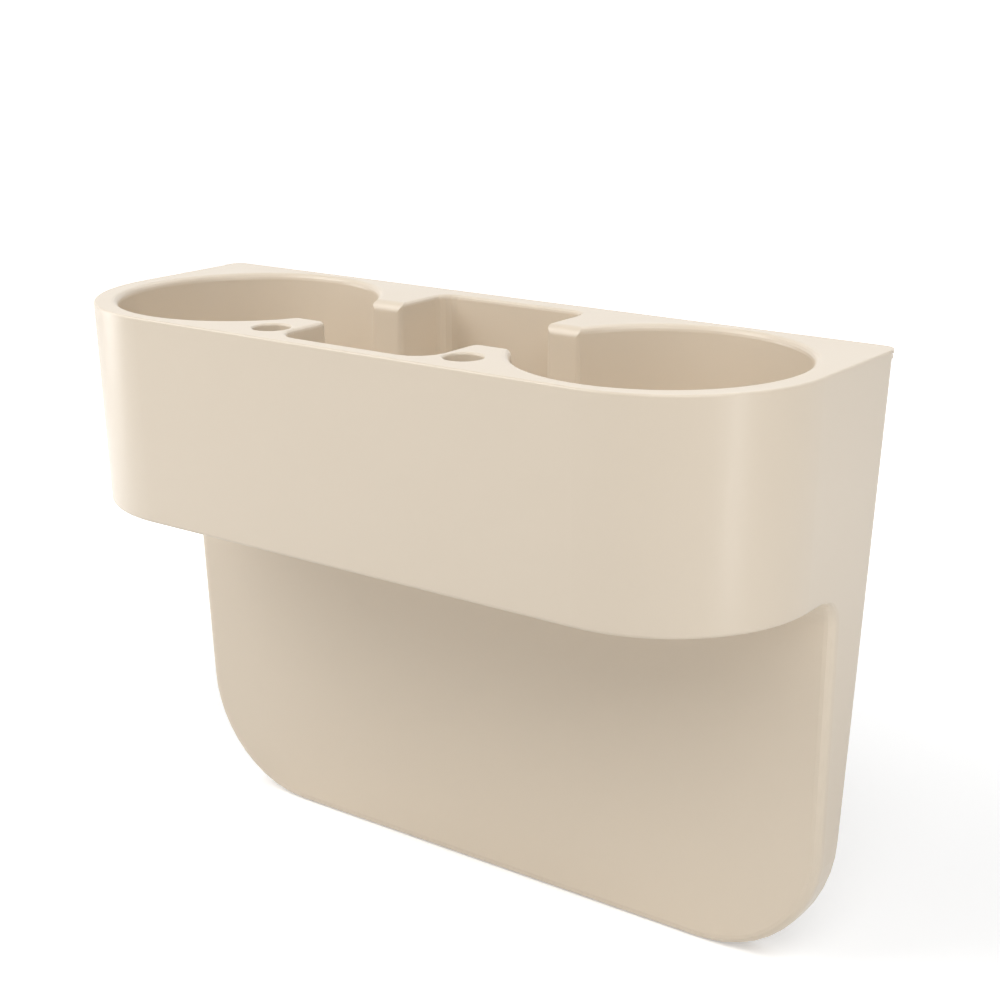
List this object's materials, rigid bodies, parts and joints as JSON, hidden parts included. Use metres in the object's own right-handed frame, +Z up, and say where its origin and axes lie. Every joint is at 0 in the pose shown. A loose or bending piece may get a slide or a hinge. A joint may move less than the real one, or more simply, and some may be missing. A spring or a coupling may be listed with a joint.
{
  "type": "car cup holder",
  "caption": "Round-ended box with tapered cups, a middle pocket and pen holes, on a flat hollow wedge that is pushed down into the gap beside a car seat.",
  "frame": {"origin": "on the wedge's front face, at the middle of its flat part", "axes": "+X along the width, to the right as seen from the front, +Y towards the back, +Z up"},
  "size_m": [0.245, 0.0899, 0.1814],
  "materials": {
    "beige_plastic": "satin, as moulded"
  },
  "bodies": {
    "root": {"holder_body": "beige_plastic"}
  },
  "joints": []
}
